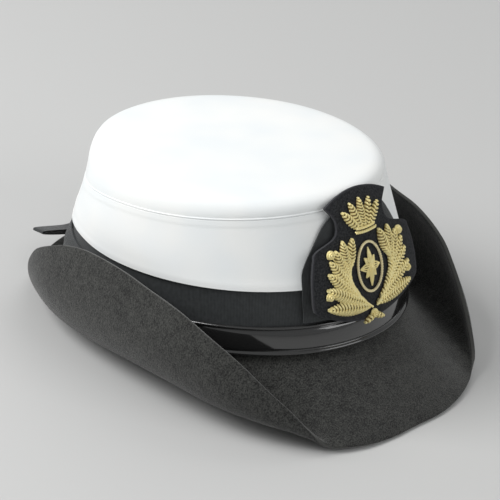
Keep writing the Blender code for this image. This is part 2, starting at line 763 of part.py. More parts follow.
def rest_on_table(pieces):
    """Tip the cap back about X so that its front and back both touch z = 0, and centre it."""
    points = np.array([tuple(vertex.co) for piece in pieces for vertex in piece.data.vertices])
    order = points[np.argsort(points[:, 1])][:, 1:]
    hull = []
    for point in order:
        while len(hull) > 1 and turns_down(hull[-2], hull[-1], point):
            hull.pop()
        hull.append(point)
    front, rear = next((a, b) for a, b in zip(hull, hull[1:]) if a[0] <= 0.0 <= b[0])
    tilt = -math.atan2(rear[1] - front[1], rear[0] - front[0])
    stand = bpy.data.objects.new("stand", None)
    bpy.context.scene.collection.objects.link(stand)
    tipped = points @ np.array(Matrix.Rotation(tilt, 3, "X")).T
    low, high = tipped.min(axis=0), tipped.max(axis=0)
    stand.rotation_euler = (tilt, 0.0, 0.0)
    stand.location = (-(low[0] + high[0]) / 2, -(low[1] + high[1]) / 2, -low[2])
    for piece in pieces:
        piece.parent = stand


def turns_down(first, second, third):
    a, b = second - first, third - first
    return a[0] * b[1] - a[1] * b[0] <= 0.0


def make_cap():
    for old in list(bpy.data.objects):
        bpy.data.objects.remove(old, do_unlink=True)
    turns = ring_turns()
    make_felt(turns)
    make_cover(turns)
    make_band(turns)
    make_strap(turns)
    make_peak()
    make_patch()
    make_sprays()
    make_ring()
    make_star()
    make_fan()
    make_tie()
    make_bow()
    rest_on_table([piece for piece in bpy.data.objects if piece.type == "MESH"])


make_cap()
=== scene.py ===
import json
import math

import bpy
import numpy as np
from mathutils import Matrix, Vector


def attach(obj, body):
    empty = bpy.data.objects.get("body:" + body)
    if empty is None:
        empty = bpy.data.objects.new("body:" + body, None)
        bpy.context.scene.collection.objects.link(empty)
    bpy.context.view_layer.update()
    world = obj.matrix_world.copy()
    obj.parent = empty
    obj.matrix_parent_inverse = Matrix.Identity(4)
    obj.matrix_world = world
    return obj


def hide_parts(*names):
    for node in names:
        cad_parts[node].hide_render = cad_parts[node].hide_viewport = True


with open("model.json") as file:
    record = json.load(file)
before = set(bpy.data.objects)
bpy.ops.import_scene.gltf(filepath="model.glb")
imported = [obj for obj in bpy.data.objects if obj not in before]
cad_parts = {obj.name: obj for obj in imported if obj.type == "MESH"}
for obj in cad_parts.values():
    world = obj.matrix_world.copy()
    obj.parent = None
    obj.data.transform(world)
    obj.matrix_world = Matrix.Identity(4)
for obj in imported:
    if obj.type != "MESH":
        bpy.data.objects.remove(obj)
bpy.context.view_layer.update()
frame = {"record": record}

# Everything is shaped with the foot of the crown level at z = 0 and the front towards -Y, in metres.
# A turn is the angle round the head: 0 in front, 90 at the wearer's left. The stand then tips the cap back.
head = {
    "halfWidth": 0.0802,
    "halfLength": 0.0972,
    "felt": 0.0025,
    "height": 0.0830,
    "seamSlant": 0.077,
    "backDip": 0.0080,
    "clearance": 0.0003,
    "columns": 320,
    "topRows": 20,
    "wallRows": 13,
}
crownSeat = frame["record"]["mounts"][0]
tilt = math.atan2(crownSeat["axis"][1], -crownSeat["axis"][2])
innerTop = Vector((0.0, 0.0, head["height"] - head["felt"]))
stand = Matrix.Rotation(tilt, 4, "X")
stand.translation = Vector(crownSeat["pos_m"]) - stand @ innerTop


# Camera, aimed as in the photograph
camera = {
    "aim": (0.0, 0.0, 0.037),
    "azimuth": -45.61,
    "elevation": 24.09,
    "distance": 1.5,
    "lens": 196.2,
    "shiftX": 0.0296,
    "shiftY": -0.0582,
    "sensor": 36.0,
}


def makeCamera():
    around = math.radians(camera["azimuth"])
    lift = math.radians(camera["elevation"])
    back = Vector((math.sin(around) * math.cos(lift), -math.cos(around) * math.cos(lift), math.sin(lift)))
    right = Vector((math.cos(around), math.sin(around), 0.0))
    up = back.cross(right)
    place = Matrix((right, up, back)).transposed().to_4x4()
    place.translation = Vector(camera["aim"]) + back * camera["distance"]
    lens = bpy.data.cameras.new("camera")
    lens.lens = camera["lens"]
    lens.sensor_width = camera["sensor"]
    lens.shift_x = camera["shiftX"]
    lens.shift_y = camera["shiftY"]
    body = bpy.data.objects.new("camera", lens)
    body.matrix_world = stand @ place
    bpy.context.scene.collection.objects.link(body)
    bpy.context.scene.camera = body


makeCamera()
print("camera placed")


# Shader sums
class Wire:
    def __init__(self, paint, socket):
        self.paint = paint
        self.socket = socket

    def worked(self, operation, first, second):
        return self.paint.node("ShaderNodeMath", {"operation": operation}, {0: first, 1: second})

    def __add__(self, other):
        return self.worked("ADD", self, other)

    def __radd__(self, other):
        return self.worked("ADD", other, self)

    def __sub__(self, other):
        return self.worked("SUBTRACT", self, other)

    def __rsub__(self, other):
        return self.worked("SUBTRACT", other, self)

    def __mul__(self, other):
        return self.worked("MULTIPLY", self, other)

    def __rmul__(self, other):
        return self.worked("MULTIPLY", other, self)


class Paint:
    def __init__(self, name):
        self.material = bpy.data.materials.new(name)
        self.material.use_nodes = True
        self.tree = self.material.node_tree
        self.tree.nodes.clear()
        self.place = self.node("ShaderNodeTexCoord", output="Object")
        self.flat = self.node("ShaderNodeUVMap", {"uv_map": "cloth"})

    def node(self, kind, settings=None, sockets=None, output=0):
        made = self.tree.nodes.new(kind)
        for name, value in (settings or {}).items():
            if name == "stops":
                self.setStops(made.color_ramp, value)
            else:
                setattr(made, name, value)
        for name, value in (sockets or {}).items():
            if isinstance(value, Wire):
                self.tree.links.new(value.socket, made.inputs[name])
            else:
                made.inputs[name].default_value = value
        return Wire(self, made.outputs[output])

    def setStops(self, ramp, stops):
        while len(ramp.elements) < len(stops):
            ramp.elements.new(0.5)
        for element, (place, value) in zip(ramp.elements, stops):
            element.position = place
            element.color = (value, value, value, 1.0)

    def noise(self, size, detail=2.0, rough=0.5, at=None):
        # size is the width of a spot, in metres
        sockets = {"Vector": at or self.place, "Scale": 1.0 / size, "Detail": detail, "Roughness": rough}
        return self.node("ShaderNodeTexNoise", {}, sockets)

    def ramp(self, value, *stops):
        return self.node("ShaderNodeValToRGB", {"stops": stops}, {"Fac": value})

    def mix(self, share, first, second):
        colours = {0: share, 6: opaque(first), 7: opaque(second)}
        return self.node("ShaderNodeMix", {"data_type": "RGBA"}, colours, output=2)

    def threads(self, axis, pitch, at=None):
        # rounded ridges a pitch apart, 0 to 1
        parts = self.node("ShaderNodeSeparateXYZ", {}, {0: at or self.flat}, output=axis)
        wave = self.node("ShaderNodeMath", {"operation": "SINE"}, {0: parts * (math.tau / pitch)})
        return wave * 0.5 + 0.5

    def bump(self, height, depth, strength=1.0):
        # depth is the height of a full ridge, in metres
        sockets = {"Height": height, "Distance": depth, "Strength": strength}
        return self.node("ShaderNodeBump", {}, sockets)

    def finish(self, **sockets):
        names = {name.replace("_", " "): value for name, value in sockets.items()}
        surface = self.node("ShaderNodeBsdfPrincipled", {}, names)
        out = self.tree.nodes.new("ShaderNodeOutputMaterial")
        self.tree.links.new(surface.socket, out.inputs["Surface"])
        return self.material


def opaque(colour):
    return colour if isinstance(colour, Wire) else (*colour, 1.0)


# Curves and surfaces
def smoothRead(knots, rows, at, flatEnds=True):
    # values at many places along a smooth curve through the rows
    knots = np.asarray(knots, float)
    rows = np.asarray(rows, float)
    at = np.atleast_1d(np.asarray(at, float))
    span = np.diff(knots)
    wide = (knots[2:] - knots[:-2]).reshape((-1,) + (1,) * (rows.ndim - 1))
    slopes = np.zeros_like(rows)
    slopes[1:-1] = (rows[2:] - rows[:-2]) / wide
    if not flatEnds:
        slopes[0] = (rows[1] - rows[0]) / span[0]
        slopes[-1] = (rows[-1] - rows[-2]) / span[-1]
    k = np.clip(np.searchsorted(knots, at, side="right") - 1, 0, len(knots) - 2)
    shape = (-1,) + (1,) * (rows.ndim - 1)
    u = ((at - knots[k]) / span[k]).reshape(shape)
    step = span[k].reshape(shape)
    near = rows[k] * (2 * u**3 - 3 * u**2 + 1) + slopes[k] * step * (u**3 - 2 * u**2 + u)
    far = rows[k + 1] * (3 * u**2 - 2 * u**3) + slopes[k + 1] * step * (u**3 - u**2)
    return near + far


def easeIn(share):
    share = np.clip(share, 0.0, 1.0)
    return share * share * (3 - 2 * share)


def placed(points):
    turned = np.asarray(points) @ np.array(stand.to_3x3()).T
    return turned + np.array(stand.translation)


def gridNormals(grid):
    along = np.roll(grid, -1, axis=1) - np.roll(grid, 1, axis=1)
    down = np.empty_like(grid)
    down[1:-1] = grid[2:] - grid[:-2]
    down[0] = grid[1] - grid[0]
    down[-1] = grid[-1] - grid[-2]
    normals = np.cross(down, along)
    return normals / np.linalg.norm(normals, axis=2, keepdims=True)


class Bundle:
    # Gathers grids and tubes into one mesh. Each keeps its own lengths as flat coordinates, in metres.
    def __init__(self):
        self.points = []
        self.faces = []
        self.flats = []
        self.rims = []
        self.count = 0

    def addGrid(self, grid, around=True, loop=False, caps=False, rim=None):
        rows, columns = grid.shape[:2]
        across = np.linalg.norm(np.diff(grid, axis=1, append=grid[:, :1]), axis=2)
        across = np.concatenate([np.zeros((rows, 1)), np.cumsum(across, axis=1)], axis=1)
        across = np.broadcast_to(across[rows // 2], across.shape)
        down = np.linalg.norm(np.diff(grid, axis=0, append=grid[:1]), axis=2).mean(axis=1)
        down = np.concatenate([[0.0], np.cumsum(down)])
        lastRow = rows if loop else rows - 1
        lastColumn = columns if around else columns - 1
        r, c = np.meshgrid(np.arange(lastRow), np.arange(lastColumn), indexing="ij")
        r, c = r.ravel(), c.ravel()
        nextC = (c + 1) % columns
        here, below = r * columns, (r + 1) % rows * columns
        quads = np.stack([here + c, here + nextC, below + nextC, below + c], axis=1)
        u = np.stack([across[r, c], across[r, c + 1], across[r, c + 1], across[r, c]], axis=1)
        v = np.stack([down[r], down[r], down[r + 1], down[r + 1]], axis=1)
        self.faces += (quads + self.count).tolist()
        self.flats += np.stack([u, v], axis=2).reshape(-1, 2).tolist()
        if caps:
            for row, order in ((0, -1), (rows - 1, 1)):
                ring = list(range(row * columns, (row + 1) * columns))[::order]
                self.faces.append([self.count + k for k in ring])
                self.flats += [[0.0, 0.0]] * columns
        self.points.append(grid.reshape(-1, 3))
        self.rims.append(np.zeros(rows * columns) if rim is None else np.repeat(rim, columns))
        self.count += rows * columns

    def addTube(self, path, radii, up, sides=6):
        path = np.asarray(path, float)
        along = np.gradient(path, axis=0)
        along /= np.linalg.norm(along, axis=1, keepdims=True)
        side = np.cross(along, up)
        side /= np.linalg.norm(side, axis=1, keepdims=True)
        rise = np.cross(side, along)
        radii = np.broadcast_to(radii, len(path))[:, None, None]
        angles = math.tau * np.arange(sides) / sides
        ring = np.cos(angles)[None, :, None] * side[:, None] + np.sin(angles)[None, :, None] * rise[:, None]
        self.addGrid(path[:, None] + ring * radii, caps=True)

    def make(self, name, paint, sharp=50.0):
        mesh = bpy.data.meshes.new(name)
        mesh.from_pydata(placed(np.concatenate(self.points)), [], self.faces)
        layer = mesh.uv_layers.new(name="cloth")
        layer.data.foreach_set("uv", np.array(self.flats, np.float32).ravel())
        rim = mesh.attributes.new("rim", "FLOAT", "POINT")
        rim.data.foreach_set("value", np.concatenate(self.rims).astype(np.float32))
        mesh.update()
        mesh.shade_smooth()
        mesh.set_sharp_from_angle(angle=math.radians(sharp))
        mesh.materials.append(paint)
        piece = bpy.data.objects.new(name, mesh)
        bpy.context.scene.collection.objects.link(piece)
        return piece


def turnOut(piece):
    # faces of a closed piece point outwards
    mesh = piece.data
    corners = np.array([vertex.co for vertex in mesh.vertices])
    mesh.calc_loop_triangles()
    triangles = np.array([triangle.vertices for triangle in mesh.loop_triangles])
    a, b, c = (corners[triangles[:, k]] for k in range(3))
    if (a * np.cross(b, c)).sum() < 0:
        mesh.flip_normals()
    return piece


def dress(piece, node):
    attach(piece, "root")
    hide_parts(node)
    return piece


# Crown and brim
crownRings = (
    # name, width, front, back, height, slant, dip: shares of the sizes in head
    ("foot", 1.000, 1.000, 1.030, 0.000, 0.00, 0.00),
    ("hem", 0.960, 0.957, 0.940, 0.446, 0.00, 0.00),
    ("seam", 0.897, 0.853, 0.882, 0.833, 1.00, 1.00),
    ("rise", 0.886, 0.848, 0.860, 0.890, 0.75, 0.70),
    ("shoulder", 0.860, 0.831, 0.846, 0.945, 0.35, 0.30),
    ("rim", 0.812, 0.794, 0.815, 0.981, 0.08, 0.06),
    ("top", 0.620, 0.608, 0.630, 0.998, 0.00, 0.00),
    ("flat", 0.360, 0.350, 0.370, 1.000, 0.00, 0.00),
)
seamAt = 2
brim = {
    "reach": 0.0405,
    "lift": 0.0433,
    "steps": 30,
    "wave": 0.00035,
    "blend": 5.0,
    "edgeTurn": 60.0,
    "edgeRound": 0.0007,
    "edgeBack": 0.0002,
    # tones across the cut edge, row by row: a painted highlight, with some wear fading
    "edgeHighlightAndWear": (0.0, 0.8, 1.0, 0.8, 0.0),
}
brimSections = (
    # turn, edge reach, edge lift, near reach, near lift, far reach, far lift: shares of reach and lift
    (0.0, 0.884, -0.880, 0.25, -0.18, 0.66, -0.56),
    (10.0, 0.946, -0.874, 0.25, -0.18, 0.70, -0.56),
    (16.0, 0.988, -0.850, 0.26, -0.20, 0.74, -0.56),
    (22.0, 1.005, -0.813, 0.28, -0.24, 0.78, -0.58),
    (26.0, 0.998, -0.767, 0.30, -0.34, 0.86, -0.74),
    (31.0, 0.943, -0.554, 0.32, -0.46, 1.00, -0.82),
    (35.0, 0.874, -0.346, 0.34, -0.54, 1.08, -0.80),
    (40.0, 0.800, -0.111, 0.36, -0.62, 1.12, -0.72),
    (47.0, 0.704, 0.206, 0.38, -0.68, 1.08, -0.60),
    (54.0, 0.635, 0.450, 0.39, -0.70, 0.98, -0.44),
    (64.0, 0.494, 0.709, 0.37, -0.62, 0.84, -0.18),
    (73.0, 0.365, 0.831, 0.35, -0.54, 0.74, 0.00),
    (84.0, 0.296, 0.947, 0.33, -0.46, 0.68, 0.12),
    (98.0, 0.296, 1.000, 0.33, -0.42, 0.68, 0.16),
    (107.0, 0.375, 0.952, 0.34, -0.38, 0.73, 0.14),
    (114.0, 0.444, 0.831, 0.33, -0.34, 0.74, 0.12),
    (121.0, 0.490, 0.658, 0.31, -0.28, 0.70, 0.09),
    (128.0, 0.520, 0.370, 0.28, -0.22, 0.62, 0.05),
    (136.0, 0.490, 0.120, 0.24, -0.16, 0.46, 0.00),
    (148.0, 0.430, -0.010, 0.18, -0.10, 0.32, -0.08),
    (164.0, 0.400, -0.030, 0.15, -0.08, 0.28, -0.08),
    (180.0, 0.390, -0.030, 0.15, -0.08, 0.28, -0.08),
)


def turnsRound():
    return np.linspace(-180.0, 180.0, head["columns"] + 1)[:-1]


def outward(turns):
    angle = np.radians(turns)
    side = np.sin(angle) * (head["halfLength"] + head["felt"])
    back = -np.cos(angle) * (head["halfWidth"] + head["felt"])
    level = np.stack([side, back, np.zeros_like(side)], axis=-1)
    return level / np.linalg.norm(level, axis=-1, keepdims=True)


def crownRing(ring, turns):
    width, front, back, height, slant, dip = ring[1:]
    angle = np.radians(turns)
    behind = np.maximum(0.0, -np.cos(angle))
    length = np.where(behind > 0.0, back, front)
    x = width * (head["halfWidth"] + head["felt"]) * np.sin(angle)
    y = -length * (head["halfLength"] + head["felt"]) * np.cos(angle)
    z = height * head["height"] - slant * head["seamSlant"] * y - dip * head["backDip"] * behind**2
    return np.stack([x, y, z], axis=-1)


def wallPoint(turns, height, out):
    # points beside the crown's wall at a height, so far out from the felt
    column = np.array([crownRing(ring, turns) for ring in crownRings[:seamAt + 2]])
    height = np.broadcast_to(height, np.shape(turns))
    at = (height > column[1, :, 2]).astype(int) + (height > column[2, :, 2])
    each = np.arange(len(at))
    low, high = column[at, each], column[at + 1, each]
    share = ((height - low[:, 2]) / (high[:, 2] - low[:, 2]))[:, None]
    return low + (high - low) * share + outward(turns) * np.broadcast_to(out, np.shape(turns))[:, None]


def brimPoint(turns, step):
    knots = [row[0] for row in brimSections]
    spread = [smoothRead(knots, [row[1:] for row in brimSections], np.minimum(180.0, np.abs(turns + shift)))
              for shift in (-brim["blend"], 0.0, brim["blend"])]
    edgeReach, edgeLift = spread[1].T[:2]
    nearReach, nearLift, farReach, farLift = (sum(spread) / 3).T[2:]
    near, far, edge = 3 * step * (1 - step)**2, 3 * step**2 * (1 - step), step**3
    reach = (near * nearReach + far * farReach + edge * edgeReach) * brim["reach"]
    lift = (near * nearLift + far * farLift + edge * edgeLift) * brim["lift"]
    angle = np.radians(turns)
    wave = brim["wave"] * edge * (np.sin(9 * angle + 1.3) + np.sin(14 * angle + 0.4) * 0.6)
    up = np.stack([np.zeros_like(lift), np.zeros_like(lift), lift], axis=-1)
    return crownRing(crownRings[0], turns) + outward(turns) * (reach + wave)[:, None] + up


def crownTop(turns, count):
    # rows from the middle of the top down to the seam
    rings = np.array([crownRing(ring, turns) for ring in crownRings[seamAt:]])
    reach = np.linalg.norm(rings[:, :, :2], axis=2).mean(axis=1)
    steps = np.hypot(np.diff(reach), np.diff(rings[:, :, 2].mean(axis=1)))
    knots = np.concatenate([[0.0], np.cumsum(steps)])
    dome = smoothRead(knots, rings, np.linspace(knots[-1], 0.0, count), flatEnds=False)
    middle = [dome[0] * np.array([share, share, 1.0]) for share in (0.04, 0.35, 0.68)]
    return np.concatenate([middle, dome])


feltLook = {
    "dark": (0.012, 0.012, 0.012),
    "light": (0.066, 0.067, 0.062),
    # edge colour: a painted highlight along the brim's cut edge, together with wear fading there
    "edge": (0.074, 0.074, 0.070),
    "roughness": 0.95,
    "sheen": 0.25,
    "fibreLie": (1.0, 1.0, 0.35),
}


def makeFeltPaint():
    paint = Paint("wool felt")
    grain = paint.noise(0.0008, detail=3.0, rough=0.7)
    clumps = paint.noise(0.0045, detail=2.0)
    shade = paint.noise(0.045, detail=1.0)
    upright = {0: paint.place, 1: feltLook["fibreLie"]}
    stretched = paint.node("ShaderNodeVectorMath", {"operation": "MULTIPLY"}, upright)
    fibres = paint.noise(0.0007, detail=2.0, rough=0.6, at=stretched)
    tone = paint.ramp(grain * 0.5 + fibres * 0.28 + clumps * 0.14 + shade * 0.08, (0.42, 0.0), (0.60, 1.0))
    cloth = paint.mix(tone, feltLook["dark"], feltLook["light"])
    # rim lightens the middle of the cut edge: painted highlight, with some wear fading
    rim = paint.node("ShaderNodeAttribute", {"attribute_name": "rim"}, output="Fac")
    colour = paint.mix(rim, cloth, feltLook["edge"])
    height = grain * 0.6 + fibres * 0.4
    return paint.finish(
        Base_Color=colour,
        Roughness=feltLook["roughness"],
        Specular_IOR_Level=0.15,
        Sheen_Weight=feltLook["sheen"],
        Sheen_Roughness=0.5,
        Normal=paint.bump(height, 0.0006, 0.9),
    )


def makeFelt():
    turns = turnsRound()
    top = crownTop(turns, head["topRows"])
    seamHeight = top[-1, :, 2]
    wallShares = np.linspace(1.0, 0.0, head["wallRows"] + 1)[1:]
    wall = [wallPoint(turns, seamHeight * share, 0.0) for share in wallShares]
    flaps = [brimPoint(turns, step) for step in np.linspace(0.0, 1.0, brim["steps"] + 1)[1:]]
    outer = np.concatenate([top, wall, flaps])
    normals = gridNormals(outer)
    inner = outer - normals * head["felt"]
    beyond = outer[-1] - outer[-2]
    beyond /= np.linalg.norm(beyond, axis=1, keepdims=True)
    middle = (outer[-1] + inner[-1]) / 2
    edge = []
    for angle in np.radians(np.linspace(brim["edgeTurn"], -brim["edgeTurn"], len(brim["edgeHighlightAndWear"]))):
        across = normals[-1] * head["felt"] / 2 * math.sin(angle)
        edge.append(middle + across + beyond * brim["edgeRound"] * math.cos(angle))
    outer[-1] -= beyond * brim["edgeBack"]
    inner[-1] -= beyond * brim["edgeBack"]
    # rim peaks at the middle of the cut edge, where the highlight and the wear fading are painted
    rim = [0.0] * len(outer) + list(brim["edgeHighlightAndWear"]) + [0.0] * len(inner)
    shell = Bundle()
    shell.addGrid(np.concatenate([outer, edge, inner[::-1]]), caps=True, rim=np.array(rim))
    piece = turnOut(shell.make("felt_shell", makeFeltPaint()))
    return dress(piece, "felt_body")


makeFelt()
print("felt crown and brim made")


# White cover
cover = {
    "hemHeight": 0.0370,
    "hemLap": 0.0052,
    "rearDrop": 0.0045,
    "rearFrom": 115.0,
    "rearOver": 45.0,
    "cloth": 0.0010,
    "overBand": 0.0018,
    "ease": 0.80,
    "piping": 0.00065,
    "pipingSeat": 0.0010,
    "pipingSides": 12,
    "topRows": 34,
    "seamGap": -0.00012,
    "curl": 0.00025,
    "allowance": 0.00016,
    "allowanceDeep": 0.0024,
    "allowanceFade": 0.0020,
    "ripple": 0.00024,
    "pucker": 0.00012,
    "puckerRows": 9,
    "hemFold": 0.00030,
    "hemShare": 0.09,
    "hemFade": 0.04,
    "hemRound": 0.0003,
    "colour": (0.85, 0.86, 0.85),
    "shade": (0.80, 0.83, 0.84),
    "weave": 0.00045,
}


def makeClothPaint(name, flat):
    paint = Paint(name)
    at = paint.flat if flat else paint.place
    warp = paint.threads("X", cover["weave"], at)
    weft = paint.threads("Y", cover["weave"] * 1.1, at)
    slub = paint.noise(0.0016, detail=2.0)
    tone = paint.noise(0.030, detail=1.0)
    colour = paint.mix(paint.ramp(tone, (0.35, 0.0), (0.7, 1.0)), cover["colour"], cover["shade"])
    return paint.finish(
        Base_Color=colour,
        Roughness=0.62 + slub * 0.12,
        Specular_IOR_Level=0.35,
        Sheen_Weight=0.15,
        Sheen_Roughness=0.4,
        Normal=paint.bump(warp * weft * 0.5 + slub * 0.5, 0.00005, 0.6),
    )


def ripples(turns, height):
    angle = np.radians(turns)
    slow = np.sin(5 * angle + 70 * height + 0.8) + np.sin(8 * angle - 55 * height + 2.1)
    return cover["ripple"] * (0.5 + 0.25 * slow)


def curled(beyond):
    # how far in the cloth turns at this distance from its cut edge
    share = np.clip(1.0 - beyond / cover["curl"], 0.0, 1.0)
    return cover["curl"] * (1.0 - np.sqrt(1.0 - share**2))


def makeCoverSide(paint):
    turns = turnsRound()
    seam = crownRing(crownRings[seamAt], turns)[:, 2]
    top = seam - cover["piping"] - cover["seamGap"]
    low = cover["hemHeight"] + cover["hemLap"]
    rearward = easeIn((np.abs(turns) - cover["rearFrom"]) / cover["rearOver"])
    hem = cover["hemHeight"] - cover["rearDrop"] * rearward
    outer, inner = [], []
    hemRows, topRows = [0.0, 0.02, 0.05, 0.08], [0.987, 0.993, 0.998, 1.0]
    heights = np.concatenate([hemRows, np.linspace(0.11, 0.86, 20), np.linspace(0.88, 0.98, 10), topRows])
    for share in heights:
        height = hem + (top - hem) * share
        easing = np.clip((height - low) / (top - low), 0.0, 1.0)
        base = cover["overBand"] + (head["clearance"] - cover["overBand"]) * easing**cover["ease"]
        free = ripples(turns, height) * math.sin(math.pi * min(1.0, share * 1.15))
        fold = cover["hemFold"] * (1.0 - easeIn((share - cover["hemShare"]) / cover["hemFade"]))
        deep = (top - height - cover["allowanceDeep"]) / cover["allowanceFade"]
        tuck = cover["allowance"] * (1.0 - easeIn(deep)) - curled(top - height)
        outer.append(wallPoint(turns, height, base + cover["cloth"] + free + fold + tuck))
        inner.append(wallPoint(turns, height, base + free * 0.8))
    turned = (outer[0] + inner[0]) / 2 - np.array([0.0, 0.0, cover["hemRound"]])
    cloth = Bundle()
    cloth.addGrid(np.array([*outer, *inner[::-1], turned]), loop=True)
    piece = turnOut(cloth.make("cover_wall", paint, sharp=70.0))
    dress(piece, "cover_side")


def makeCoverTop(paint):
    turns = turnsRound()
    seam = crownRing(crownRings[seamAt], turns)[:, 2]
    grid = crownTop(turns, cover["topRows"])
    normals = gridNormals(grid)
    normals[:4] = (0.0, 0.0, 1.0)
    margin = cover["piping"] + cover["seamGap"]
    angle = np.radians(turns)
    gather = 0.5 + 0.5 * np.sin(46 * angle + 2.0 * np.sin(5 * angle))
    faces = []
    for out in (head["clearance"], head["clearance"] + cover["cloth"]):
        face = grid + normals * out
        for back in range(cover["puckerRows"]):
            drawn = cover["pucker"] * (1 - back / cover["puckerRows"])**2
            face[-1 - back] += normals[-1 - back] * (drawn * gather)[:, None]
        edge = [wallPoint(turns, seam + margin + over, out - curled(over) * (out > cover["cloth"]))
                for over in (0.0004, 0.0002, 0.0001, 0.0)]
        faces.append(np.concatenate([face[:-1], edge]))
    cloth = Bundle()
    cloth.addGrid(np.concatenate([faces[0], faces[1][::-1]]), caps=True)
    piece = turnOut(cloth.make("cover_crown", paint, sharp=70.0))
    dress(piece, "cover_top")


def makePiping(paint):
    turns = turnsRound()
    seam = crownRing(crownRings[seamAt], turns)
    rows = []
    for angle in math.tau * np.arange(cover["pipingSides"]) / cover["pipingSides"]:
        out = cover["pipingSeat"] + cover["piping"] * math.cos(angle)
        up = np.array([0.0, 0.0, cover["piping"] * math.sin(angle)])
        rows.append(seam + outward(turns) * out + up)
    cord = Bundle()
    cord.addGrid(np.array(rows), loop=True)
    piece = turnOut(cord.make("cover_cord", paint))
    dress(piece, "cover_piping")


sideCloth = makeClothPaint("white cloth, wall", flat=True)
makeCoverSide(sideCloth)
makeCoverTop(makeClothPaint("white cloth, top", flat=False))
makePiping(sideCloth)
print("cover made")


# Ribbon band and its raised front
band = {
    "start": 0.0008,
    "ribbon": 0.0012,
    "rib": 0.00075,
    "dark": (0.016, 0.018, 0.019),
    "light": (0.038, 0.042, 0.044),
    "peakRibbon": 0.0008,
    "peakHeight": 0.0760,
    "peakHalfTurn": 28.0,
    "peakRows": 40,
    "peakColumns": 41,
    "rows": 9,
    "softEdge": 0.0002,
}
peakOutline = (
    # height, half width
    (0.25, 1.00),
    (0.49, 1.00),
    (0.60, 0.98),
    (0.68, 0.91),
    (0.76, 0.81),
    (0.82, 0.73),
    (0.90, 0.61),
    (0.98, 0.42),
)


def makeRibbonPaint(name):
    paint = Paint(name)
    ribs = paint.threads("X", band["rib"])
    across = paint.threads("Y", band["rib"] * 0.6)
    wear = paint.noise(0.0022, detail=3.0)
    tone = paint.ramp(ribs * 0.35 + wear * 0.65, (0.25, 0.0), (0.75, 1.0))
    return paint.finish(
        Base_Color=paint.mix(tone, band["dark"], band["light"]),
        Roughness=0.55 + wear * 0.2,
        Specular_IOR_Level=0.4,
        Sheen_Weight=0.3,
        Sheen_Roughness=0.4,
        Normal=paint.bump(ribs * 0.8 + across * 0.2, 0.00012, 0.8),
    )


def makeBand(paint):
    turns = turnsRound()
    top = cover["hemHeight"] + cover["hemLap"] - head["clearance"]
    heights = [*np.linspace(band["start"], cover["hemHeight"], band["rows"]), top]
    inner = [wallPoint(turns, height, head["clearance"]) for height in heights]
    outer = [wallPoint(turns, height, head["clearance"] + band["ribbon"]) for height in heights]
    ribbon = Bundle()
    ribbon.addGrid(np.array(outer + inner[::-1]), loop=True)
    piece = turnOut(ribbon.make("band_ribbon", paint))
    dress(piece, "hat_band")


def makePeak(paint):
    seat = 3 * head["clearance"] + band["ribbon"] + cover["cloth"]
    knots = [row[0] for row in peakOutline]
    heights = np.linspace(knots[0], knots[-1], band["peakRows"])
    halves = smoothRead(knots, [[row[1]] for row in peakOutline], heights, flatEnds=False)[:, 0]
    faces = []
    for out in (seat + band["peakRibbon"], seat):
        rows = []
        for height, half in zip(heights, halves):
            turns = half * band["peakHalfTurn"] * np.linspace(-1.0, 1.0, band["peakColumns"])
            rows.append(wallPoint(turns, height * band["peakHeight"], out))
        faces.append(np.array(rows))
    piece = turnOut(plate(*faces).make("band_front", paint))
    soften(piece, band["softEdge"])
    dress(piece, "band_peak")


def plate(front, back):
    # a thin closed sheet between two grids
    made = Bundle()
    rows, columns = front.shape[:2]
    made.addGrid(front, around=False)
    made.addGrid(back[:, ::-1], around=False)
    start = rows * columns
    rim = [(0, c) for c in range(columns - 1)] + [(r, columns - 1) for r in range(rows - 1)]
    rim += [(rows - 1, c) for c in range(columns - 1, 0, -1)] + [(r, 0) for r in range(rows - 1, 0, -1)]
    for (r, c), (s, d) in zip(rim, rim[1:] + rim[:1]):
        low, high = start + r * columns + columns - 1 - c, start + s * columns + columns - 1 - d
        made.faces.append([r * columns + c, low, high, s * columns + d])
        made.flats += [[c * 0.001, 0.0], [c * 0.001, 0.001], [d * 0.001, 0.001], [d * 0.001, 0.0]]
    return made


def soften(piece, width):
    bevel = piece.modifiers.new("soft edge", "BEVEL")
    bevel.width = width
    bevel.segments = 3
    bevel.limit_method = "ANGLE"
    bevel.angle_limit = math.radians(55)
    bevel.harden_normals = False


ribbonPaint = makeRibbonPaint("ribbon")
makeBand(ribbonPaint)
makePeak(ribbonPaint)
print("band made")


# Patent strap
strap = {
    "width": 0.0160,
    "start": 0.0015,
    "thickness": 0.0020,
    "colour": (0.016, 0.016, 0.016),
}
strapSection = (
    # out, up: the flat back, then the front with its two rolled edges
    (0.00, 0.02), (0.00, 0.50), (0.00, 0.98),
    (0.50, 1.00), (0.88, 0.985), (1.00, 0.950), (0.92, 0.91), (0.55, 0.885), (0.34, 0.86),
    (0.52, 0.825), (0.68, 0.79), (0.74, 0.74), (0.76, 0.50), (0.74, 0.26), (0.68, 0.21), (0.52, 0.175),
    (0.34, 0.14), (0.55, 0.115), (0.92, 0.09), (1.00, 0.050), (0.88, 0.015), (0.50, 0.00),
)


def makePatentPaint():
    paint = Paint("patent leather")
    skin = paint.noise(0.006, detail=2.0)
    dust = paint.noise(0.0012, detail=2.0)
    return paint.finish(
        Base_Color=(*strap["colour"], 1.0),
        Roughness=0.09 + dust * 0.08,
        Specular_IOR_Level=0.6,
        Coat_Weight=1.0,
        Coat_Roughness=0.04,
        Normal=paint.bump(skin, 0.00008, 0.6),
    )


def makeStrap():
    turns = turnsRound()
    base = 2 * head["clearance"] + band["ribbon"]
    rows = []
    for out, up in strapSection:
        height = strap["start"] + up * strap["width"]
        rows.append(wallPoint(turns, height, base + out * strap["thickness"]))
    leather = Bundle()
    leather.addGrid(np.array(rows), loop=True)
    piece = turnOut(leather.make("strap_patent", makePatentPaint(), sharp=80.0))
    dress(piece, "chin_strap")


